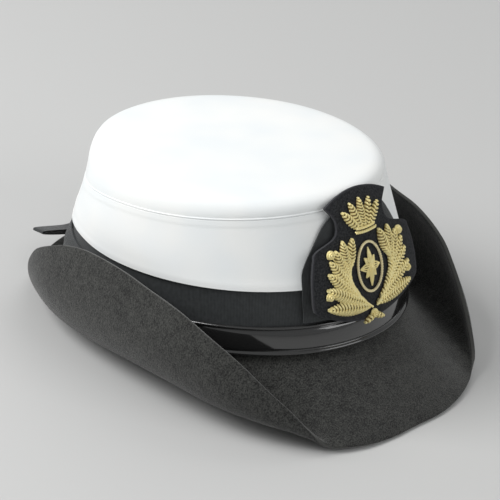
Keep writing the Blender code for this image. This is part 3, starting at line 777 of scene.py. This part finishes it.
fold = {
    "turns": (96.0, 264.0),
    "foot": 0.0010,
    "overBow": 0.0090,
    "bend": 0.0185,
    "head": 0.0290,
    "ribbon": 0.0008,
    "tuck": 0.0005,
    "bowHalfTurn": 18.0,
    "bowFade": 14.0,
    "endFade": 20.0,
    "columns": 150,
    "rows": 26,
}


def makeFold(paint):
    # the ribbon's loose lap over the strap, round the back and clear of the bow
    over = 3 * head["clearance"] + band["ribbon"] + strap["thickness"]
    seat = 2 * head["clearance"] + band["ribbon"]
    turns = np.linspace(*fold["turns"], fold["columns"])
    aside = np.abs(180.0 - turns)
    foot = fold["foot"] + fold["overBow"] * (1.0 - easeIn((aside - fold["bowHalfTurn"]) / fold["bowFade"]))
    ends = easeIn((aside[0] - aside) / fold["endFade"])
    front, back = [], []
    for share in np.linspace(0.0, 1.0, fold["rows"]):
        height = fold["head"] + (foot - fold["head"]) * share
        drop = easeIn((height - fold["bend"]) / (fold["head"] - fold["bend"]))
        loose = fold["tuck"] * ends * (1.0 + np.sin(turns / 7.0 + 90.0 * height)) / 2
        out = over + (seat - over) * drop + loose
        front.append(wallPoint(turns, height, out + fold["ribbon"]))
        back.append(wallPoint(turns, height, out))
    piece = turnOut(plate(np.array(front), np.array(back)).make("band_ribbon_lap", paint))
    soften(piece, band["softEdge"])
    dress(piece, "hat_band")


makeStrap()
makeFold(ribbonPaint)
print("strap made")


# Badge: felt patch and gold wire work
badge = {
    "halfWidth": 0.0410,
    "height": 0.0700,
    "felt": 0.0018,
    "bend": 0.180,
    "foot": 0.0145,
    "patchRows": 78,
    "patchColumns": 61,
    "relief": 0.0022,
    "squeeze": 0.925,
    "aside": -0.0020,
    "yaw": -0.06,
    "sprayHeight": 0.0410,
    "sprayHalfWidth": 0.0330,
    "sprayFoot": 0.0070,
    "sprayMiddle": 0.0300,
    "berry": 0.0026,
    "berryTurns": 2.6,
    "berryWire": 0.00042,
    "ringHalfWidth": 0.0092,
    "ringHalfHeight": 0.0132,
    "ringCord": 0.0008,
    "ringTwists": 30,
    "ringCentre": 0.0285,
    "starReach": 0.0074,
    "starStretch": 1.40,
    "fanHeight": 0.0155,
    "fanFoot": 0.0490,
    "fanSpread": 84.0,
    "fanLeaves": 5,
    "fanStart": 0.26,
    "fanLeafWide": 0.30,
    "fanCord": 0.0009,
    "fanBars": ((-0.0009, 0.50), (0.0011, 0.46)),
    "fanBarSag": 0.0006,
    "tieHalfWidth": 0.0090,
    "tieLean": 112.0,
    "stem": 0.0006,
    "stalk": 0.0004,
    "softEdge": 0.00035,
}
patchOutline = (
    # height, half width, arch
    (0.150, 0.92, -0.150),
    (0.190, 1.00, -0.130),
    (0.320, 1.01, -0.080),
    (0.460, 0.98, -0.030),
    (0.580, 0.92, 0.000),
    (0.635, 0.86, 0.000),
    (0.685, 0.56, 0.000),
    (0.730, 0.47, 0.000),
    (0.820, 0.46, 0.010),
    (0.920, 0.58, 0.080),
)
sprayLeaves = (
    # start, length, width, lean
    (0.02, 0.75, 0.19, 80.0),
    (0.10, 0.74, 0.19, 63.0),
    (0.22, 0.68, 0.19, 49.0),
    (0.36, 0.62, 0.18, 36.0),
    (0.50, 0.55, 0.18, 20.0),
    (0.66, 0.50, 0.17, 2.0),
    (0.82, 0.40, 0.16, -20.0),
)
sprayBerries = (
    # start, stalk, lean
    (0.16, 0.60, 71.0),
    (0.44, 0.60, 29.0),
)


def patchCurve():
    # depth of the patch's front face on the centre line, over strap, hem and peak
    overStrap = 3 * head["clearance"] + band["ribbon"] + strap["thickness"] + badge["felt"]
    overPeak = 4 * head["clearance"] + band["ribbon"] + cover["cloth"] + band["peakRibbon"] + badge["felt"]
    ahead = np.zeros(1)
    seats = [wallPoint(ahead, badge["foot"], overStrap)[0], wallPoint(ahead, cover["hemHeight"], overPeak)[0],
             wallPoint(ahead, band["peakHeight"], overPeak)[0]]
    return np.polyfit([seat[2] for seat in seats], [seat[1] for seat in seats], 2)


patchBend = patchCurve()


def patchPoint(across, up, out=0.0):
    across, up, out = np.broadcast_arrays(np.asarray(across, float) * badge["squeeze"], up, out)
    height = badge["foot"] + up
    slope = np.polyval(np.polyder(patchBend), height)
    ahead = np.stack([np.zeros_like(slope), -np.ones_like(slope), slope], axis=-1)
    ahead /= np.linalg.norm(ahead, axis=-1, keepdims=True)
    radius = badge["bend"] + out
    angle = across / badge["bend"]
    middle = np.stack([radius * np.sin(angle), np.polyval(patchBend, height), height], axis=-1)
    level = middle + ahead * (radius * np.cos(angle) - badge["bend"])[..., None]
    # the badge sits a little askew, as in the photograph
    pivot = np.array([0.0, np.polyval(patchBend, cover["hemHeight"]), 0.0])
    turned = (level - pivot) @ np.array(Matrix.Rotation(badge["yaw"], 3, "Z")).T
    return turned + pivot + np.array([badge["aside"], 0.0, 0.0])


def patchNormal(across, up):
    return patchPoint(across, up, 0.001) - patchPoint(across, up, 0.0)


patchLook = {
    "dark": (0.008, 0.009, 0.011),
    "light": (0.034, 0.035, 0.038),
    # rim colour: a painted highlight along the patch's edge
    "rim": (0.042, 0.042, 0.048),
}


def makePatchPaint():
    paint = Paint("badge felt")
    grain = paint.noise(0.0009, detail=3.0, rough=0.6)
    # rim marks the patch's outline rows, which take the lighter colour as a painted edge highlight
    rim = paint.node("ShaderNodeAttribute", {"attribute_name": "rim"}, output="Fac")
    tone = paint.ramp(grain, (0.35, 0.0), (0.65, 1.0))
    cloth = paint.mix(tone, patchLook["dark"], patchLook["light"])
    return paint.finish(
        Base_Color=paint.mix(rim, cloth, patchLook["rim"]),
        Roughness=0.95,
        Specular_IOR_Level=0.2,
        Sheen_Weight=0.12,
        Sheen_Roughness=0.5,
        Normal=paint.bump(grain, 0.0003, 0.7),
    )


def makePatch():
    knots = [row[0] for row in patchOutline]
    heights = np.linspace(knots[0], knots[-1], badge["patchRows"])
    values = smoothRead(knots, [row[1:] for row in patchOutline], heights, flatEnds=False)
    share = np.linspace(-1.0, 1.0, badge["patchColumns"])
    across = values[:, :1] * share * badge["halfWidth"]
    up = (heights[:, None] + values[:, 1:] * (1 - share**2)) * badge["height"]
    front, back = patchPoint(across, up, 0.0), patchPoint(across, up, -badge["felt"])
    made = plate(front, back)
    # outline rows get rim 1: the painted edge highlight
    rim = np.zeros(front.shape[:2])
    rim[0] = rim[-1] = rim[:, 0] = rim[:, -1] = 1.0
    made.rims[0] = rim.ravel()
    piece = turnOut(made.make("badge_felt", makePatchPaint()))
    soften(piece, badge["softEdge"])
    dress(piece, "badge_patch")


makePatch()
print("badge patch made")


goldLook = {
    "wire": (0.96, 0.78, 0.31),
    "wireShine": (1.0, 0.93, 0.52),
    "cord": (0.84, 0.72, 0.40),
    "cordShine": (1.0, 0.91, 0.62),
    # dark padding colour: painted shade in the gaps between wire rows
    "padShadeColour": (0.34, 0.235, 0.075),
    "coil": 0.00036,
    "metallic": 0.30,
}


def makeGoldPaint(name, colour, pale):
    paint = Paint(name)
    coil = paint.threads("Y", goldLook["coil"])
    tone = paint.noise(0.0016, detail=2.0)
    shine = paint.ramp(tone * 0.6 + coil * 0.4, (0.25, 0.0), (0.75, 1.0))
    # rim marks the padding, which shows between the wires in the dark colour as painted shade
    padShadeMask = paint.node("ShaderNodeAttribute", {"attribute_name": "rim"}, output="Fac")
    return paint.finish(
        Base_Color=paint.mix(padShadeMask, paint.mix(shine, colour, pale), goldLook["padShadeColour"]),
        Metallic=goldLook["metallic"],
        Roughness=0.30 + tone * 0.16,
        Normal=paint.bump(coil, 0.00010, 0.9),
    )


goldPaint = makeGoldPaint("gilt wire", goldLook["wire"], goldLook["wireShine"])
palePaint = makeGoldPaint("pale gilt cord", goldLook["cord"], goldLook["cordShine"])


leaf = {
    "padRows": 14,
    "padColumns": 9,
    "padWide": 0.92,
    "padRise": 0.62,
    "spacing": 0.00135,
    "leanSpacing": 0.45,
    "fewestRows": 4,
    "strandShare": 0.35,
    "strandTaper": (0.8, 1.0, 1.0, 1.0, 0.7),
    "slant": 0.27,
    "tip": 0.995,
}


def leafAt(start, lean, length, width):
    # returns how a place on the leaf, along and across, lies on the patch
    angle = math.radians(lean)
    way = np.array([math.sin(angle), math.cos(angle)])
    side = np.array([way[1], -way[0]])

    def spot(along, across, rise):
        half = width / 2 * np.sin(math.pi * np.clip(along, 0.0, 1.0))**0.7
        flat = np.asarray(start) + np.multiply.outer(along * length, way)
        flat = flat + np.multiply.outer(half * across, side)
        ridge = badge["relief"] * np.minimum(1.0, 0.45 + half / (width / 2))
        return patchPoint(flat[..., 0], flat[..., 1], head["clearance"] + ridge * rise)
    return spot


def addLeaf(made, start, lean, length, width, layer=0.0):
    # padding below, then wire laid out from the midrib in slanting rows
    spot = leafAt(start, lean, length, width)
    along = np.linspace(0.02, 0.98, leaf["padRows"])
    across = np.linspace(-1.0, 1.0, leaf["padColumns"])
    rises = leaf["padRise"] * (1 - across**2)**0.6 + layer
    wide, low = across * leaf["padWide"], np.zeros_like(across)
    pad = np.array([spot(a * np.ones_like(across), wide, rises) for a in along])
    foot = np.array([spot(a * np.ones_like(across), wide[::-1], low) for a in along])
    # the pad gets rim 1, so it takes the dark colour painted as shade between the wire rows
    made.addGrid(np.concatenate([pad, foot], axis=1), caps=True, rim=np.ones(len(along)))
    spacing = leaf["spacing"] * (1.0 + leaf["leanSpacing"] * abs(math.sin(math.radians(lean))))
    radii = leaf["strandShare"] * spacing * np.array(leaf["strandTaper"])
    count = max(leaf["fewestRows"], int(length / spacing))
    step = np.linspace(0.0, 1.0, len(radii))
    rise = 0.80 + 0.75 * step - 1.35 * step**2 + layer
    normal = patchNormal(start[0], start[1])
    for k in range(count):
        first = 0.01 + 0.93 * k / (count - 1)
        last = min(leaf["tip"], first + leaf["slant"] * width / length)
        for hand in (-1.0, 1.0):
            path = spot(first + (last - first) * step, hand * (0.04 + 1.02 * step), rise)
            made.addTube(path, radii, normal, sides=5)


def addBerry(made, centre, radius, layer=0.0):
    # a coil of wire over a low dome
    step = np.linspace(0.0, 1.0, 44)
    angle = step * math.tau * badge["berryTurns"]
    reach = radius * (0.08 + 0.86 * step)
    rise = badge["relief"] * (1.12 * (1 - 0.85 * step**2.2) + layer)
    x = centre[0] + reach * np.cos(angle)
    y = centre[1] + reach * np.sin(angle)
    made.addTube(patchPoint(x, y, head["clearance"] + rise), badge["berryWire"] * 1.05, patchNormal(*centre))
    ringAngle = math.tau * np.arange(12) / 12
    rows = []
    for share, up in ((1.0, 0.0), (0.95, 0.35), (0.6, 0.85), (0.05, 1.0)):
        x = centre[0] + radius * share * 0.95 * np.cos(ringAngle)
        y = centre[1] + radius * share * 0.95 * np.sin(ringAngle)
        rows.append(patchPoint(x, y, head["clearance"] + badge["relief"] * (up + layer)))
    made.addGrid(np.array(rows), caps=True)


def addCord(made, path, radius, normal, twists):
    # two plies laid round each other
    path = np.asarray(path)
    along = np.gradient(path, axis=0)
    along /= np.linalg.norm(along, axis=1, keepdims=True)
    side = np.cross(along, normal)
    side /= np.linalg.norm(side, axis=1, keepdims=True)
    rise = np.cross(side, along)
    angle = np.linspace(0.0, math.tau * twists, len(path))[:, None]
    for ply in (0.0, math.pi):
        offset = (side * np.cos(angle + ply) + rise * np.sin(angle + ply)) * radius * 0.48
        made.addTube(path + offset, radius * 0.56, normal)


def stemPoint(share):
    sweep = np.sin(np.asarray(share) * math.pi * 0.75)
    x = (0.05 + 0.46 * sweep) * badge["sprayHalfWidth"]
    y = badge["sprayFoot"] + np.asarray(share) * badge["sprayHeight"] * 0.70
    return x, y


def makeSpray(node, hand):
    made = Bundle()
    tall = badge["sprayHeight"]
    normal = patchNormal(0.0, badge["sprayMiddle"])
    share = np.linspace(0.0, 1.0, 26)
    x, y = stemPoint(share)
    path = patchPoint(hand * x, y, head["clearance"] + badge["relief"] * 0.8)
    made.addTube(path, badge["stem"], normal)
    for k, (start, length, width, lean) in enumerate(sprayLeaves):
        x, y = stemPoint(start)
        addLeaf(made, (hand * x, y), hand * lean, length * tall, width * tall, layer=0.04 * (k % 2))
    for start, stalk, lean in sprayBerries:
        x, y = stemPoint(start)
        angle = math.radians(lean)
        reach = stalk * tall * share
        across, up = hand * (x + reach * math.sin(angle)), y + reach * math.cos(angle)
        made.addTube(patchPoint(across, up, head["clearance"] + badge["stem"]), badge["stalk"], normal)
        addBerry(made, (across[-1], up[-1]), badge["berry"])
    piece = made.make(node + "_wire", goldPaint)
    dress(piece, node)


def makeRing():
    made = Bundle()
    angle = np.linspace(0.0, math.tau, 161)
    x = badge["ringHalfWidth"] * np.cos(angle)
    y = badge["ringCentre"] + badge["ringHalfHeight"] * np.sin(angle)
    path = patchPoint(x, y, head["clearance"] + badge["ringCord"])
    addCord(made, path, badge["ringCord"], patchNormal(x, y), badge["ringTwists"])
    dress(made.make("badge_ring_cord", palePaint), "badge_ring")


star = {
    "points": 8,
    "shortPoint": 0.72,
    "lanes": (-1.0, -0.33, 0.33, 1.0),
    "laneSpread": 0.0013,
    "laneDrop": 0.0002,
    "wire": 0.00040,
    "boss": 0.0017,
    "padLong": 0.0066,
    "padShort": 0.0048,
    "padValley": 0.0024,
    "padFlank": 0.0030,
}


def makeStar():
    made = Bundle()
    centre = badge["ringCentre"]
    normal = patchNormal(0.0, centre)
    for k in range(star["points"]):
        angle = math.tau * k / star["points"] + math.pi / 2
        reach = badge["starReach"] * (1.0 if k % 2 == 0 else star["shortPoint"])
        way = np.array([math.cos(angle), math.sin(angle)])
        side = np.array([-way[1], way[0]])
        for lane in star["lanes"]:
            step = np.linspace(0.08, 1.0, 7)
            spread = lane * star["laneSpread"] * np.sin(math.pi * np.clip(step * 0.9 + 0.12, 0, 1))
            flat = np.multiply.outer(step * reach, way) + np.multiply.outer(spread, side)
            rise = badge["relief"] * (0.95 - 0.6 * step) - abs(lane) * star["laneDrop"]
            up = centre + flat[:, 1] * badge["starStretch"]
            made.addTube(patchPoint(flat[:, 0], up, head["clearance"] + rise), star["wire"], normal, sides=5)
    addBerry(made, (0.0, centre), star["boss"], layer=0.1)
    corner = np.arange(4 * star["points"])
    angle = math.tau * corner / len(corner) + math.pi / 2
    pad = np.where(corner % 2 == 0, star["padValley"], star["padFlank"])
    pad = np.where(corner % 4 == 0, star["padLong"], pad)
    pad = np.where(corner % 8 == 4, star["padShort"], pad)
    rows = []
    for share, up in ((1.0, 0.0), (0.9, 0.2), (0.4, 0.55), (0.05, 0.6)):
        x = pad * share * np.cos(angle)
        y = centre + pad * share * np.sin(angle) * badge["starStretch"]
        rows.append(patchPoint(x, y, head["clearance"] + badge["relief"] * up))
    # the star's pad gets rim 1: the dark colour painted as shade between the wires
    made.addGrid(np.array(rows), caps=True, rim=np.ones(len(rows)))
    dress(made.make("badge_star_wire", goldPaint), "badge_star")


def makeFan():
    made = Bundle()
    tall = badge["fanHeight"]
    for k in range(badge["fanLeaves"]):
        share = 2 * k / (badge["fanLeaves"] - 1) - 1
        start = (share * tall * badge["fanStart"], badge["fanFoot"])
        long, wide = tall * (1 - 0.06 * share**2), tall * badge["fanLeafWide"]
        addLeaf(made, start, share * badge["fanSpread"] / 2, long, wide)
    for lift, half in badge["fanBars"]:
        x = np.linspace(-1.0, 1.0, 30) * tall * half
        bend = badge["fanBarSag"] * (1 - (x / (tall * half))**2)
        path = patchPoint(x, badge["fanFoot"] + lift - bend, head["clearance"] + badge["relief"] * 0.85)
        addCord(made, path, badge["fanCord"], patchNormal(0.0, badge["fanFoot"]), 5)
    dress(made.make("badge_fan_wire", goldPaint), "badge_fan")


def makeTie():
    made = Bundle()
    half = badge["tieHalfWidth"]
    foot = badge["sprayFoot"] - half * 0.45
    for hand in (-1, 1):
        start = (-hand * half * 0.2, foot)
        addLeaf(made, start, hand * badge["tieLean"], half * 1.1, half * 0.34, layer=0.1)
    addBerry(made, (0.0, foot), badge["berry"], layer=0.25)
    dress(made.make("badge_tie_wire", goldPaint), "badge_tie")


makeSpray("badge_spray_left", 1.0)
makeSpray("badge_spray_right", -1.0)
makeRing()
makeStar()
makeFan()
makeTie()
print("gold wire work made")


# Ribbon bow behind the strap
bow = {
    "reach": 0.0460,
    "ribbon": 0.0008,
    "width": 0.0080,
    "opening": 0.0014,
    "pinch": 0.0010,
    "rise": 0.0072,
    "hinge": 0.48,
    "softness": 0.13,
    "height": 0.0034,
    "knotWidth": 0.0090,
    "knotRibbon": 0.0009,
    "gather": 0.25,
    "gatherReach": 0.010,
    "loopColumns": 120,
    "knotColumns": 32,
    "knotCorner": 0.35,
}
ribbonAcross = (
    # outer or inner face, place across the ribbon
    (1, -0.5), (1, -0.25), (1, 0.0), (1, 0.25), (1, 0.5),
    (0, 0.5), (0, 0.0), (0, -0.5),
)
knotFolds = (
    # place along the knot, thickness
    (-0.5, 0.6), (-0.42, 0.95), (-0.2, 1.0), (-0.05, 0.8), (0.12, 1.0),
    (0.3, 0.9), (0.42, 0.95), (0.5, 0.6), (0.5, 0.0), (-0.5, 0.0),
)


def bowRise(x):
    # the loops lie level as far as the hinge, then rise towards their tips
    lifts = [np.hypot(share - bow["hinge"], bow["softness"]) + share - bow["hinge"]
             for share in (np.abs(x) / bow["reach"], 1.0)]
    return bow["rise"] * lifts[0] / lifts[1]


def squareRound(turn):
    # a circle drawn out to a box with round corners
    around = (np.cos(turn), np.sin(turn))
    return [np.sign(part) * np.abs(part)**bow["knotCorner"] for part in around]


def makeBow(paint):
    strapOut = 2 * head["clearance"] + band["ribbon"] + strap["thickness"]
    back = wallPoint(np.array([180.0]), strap["start"], strapOut)[0, 1]
    middle = back + 2 * head["clearance"] + bow["knotRibbon"] + bow["width"] / 2
    angle = math.tau * np.arange(bow["loopColumns"]) / bow["loopColumns"]
    spread = bow["opening"] / 2 * np.abs(np.cos(angle))**0.8
    x = bow["reach"] * np.cos(angle)
    z = np.sin(angle) * (bow["pinch"] / 2 + spread)
    along = np.stack([np.roll(x, -1) - np.roll(x, 1), np.roll(z, -1) - np.roll(z, 1)], axis=1)
    along /= np.linalg.norm(along, axis=1, keepdims=True)
    height = bow["height"] + bowRise(x)
    rows = []
    wide = bow["width"] * (1.0 - bow["gather"] * np.exp(-(x / bow["gatherReach"])**2))
    for face, side in ribbonAcross:
        grown = bow["ribbon"] * face
        across, up = x + along[:, 1] * grown, height + z - along[:, 0] * grown
        rows.append(np.stack([across, middle + side * wide, up], axis=1))
    made = Bundle()
    made.addGrid(np.array(rows), loop=True)
    piece = turnOut(made.make("bow_ribbon_loops", paint))
    dress(piece, "bow_loops")

    halfDeep = bow["width"] / 2 + head["clearance"]
    halfTall = bow["pinch"] / 2 + bow["opening"] / 2 + bow["ribbon"] + head["clearance"]
    rows = []
    boxSide, boxUp = squareRound(math.tau * np.arange(bow["knotColumns"]) / bow["knotColumns"])
    for place, thick in knotFolds:
        deep, tall = halfDeep + thick * bow["knotRibbon"], halfTall + thick * bow["knotRibbon"]
        x = np.full(len(boxSide), place * bow["knotWidth"])
        rows.append(np.stack([x, middle + boxSide * deep, bow["height"] + boxUp * tall], axis=1))
    made = Bundle()
    made.addGrid(np.array(rows), loop=True)
    piece = turnOut(made.make("bow_ribbon_knot", paint))
    dress(piece, "bow_knot")


makeBow(makeRibbonPaint("bow ribbon"))
print("bow made")


# Floor and light
studio = {
    "floor": (0.54, 0.54, 0.535),
    "floorHalf": 4.0,
    "sky": (0.97, 0.985, 0.985),
    "skyStrength": 0.38,
    "aim": (0.0, 0.0, 0.05),
    "lights": (
        # name, azimuth, elevation, distance, size, power
        ("key", -128.0, 43.0, 1.6, 1.0, 24.0),
        ("front", 14.0, 30.0, 1.8, 1.0, 7.5),
        ("back", 120.0, 48.0, 1.8, 1.2, 5.0),
    ),
}


def makeStudio():
    mesh = bpy.data.meshes.new("floor")
    half = studio["floorHalf"]
    corners = [(-half, -half, 0), (half, -half, 0), (half, half, 0), (-half, half, 0)]
    mesh.from_pydata(corners, [], [(0, 1, 2, 3)])
    floor = bpy.data.objects.new("floor", mesh)
    bpy.context.scene.collection.objects.link(floor)
    paint = Paint("floor")
    mesh.materials.append(paint.finish(Base_Color=(*studio["floor"], 1.0), Roughness=0.85))
    world = bpy.data.worlds.new("studio")
    world.use_nodes = True
    sky = world.node_tree.nodes["Background"]
    sky.inputs["Color"].default_value = (*studio["sky"], 1.0)
    sky.inputs["Strength"].default_value = studio["skyStrength"]
    bpy.context.scene.world = world
    aim = Vector(studio["aim"])
    for name, azimuth, elevation, distance, size, power in studio["lights"]:
        around, lift = math.radians(azimuth), math.radians(elevation)
        way = Vector((math.sin(around) * math.cos(lift), -math.cos(around) * math.cos(lift), math.sin(lift)))
        lamp = bpy.data.lights.new(name, "AREA")
        lamp.shape = "SQUARE"
        lamp.size = size
        lamp.energy = power
        body = bpy.data.objects.new(name, lamp)
        body.location = aim + way * distance
        body.rotation_euler = way.to_track_quat("Z", "Y").to_euler()
        bpy.context.scene.collection.objects.link(body)
    bpy.context.scene.view_settings.view_transform = "Standard"


makeStudio()
print("floor and lights made")
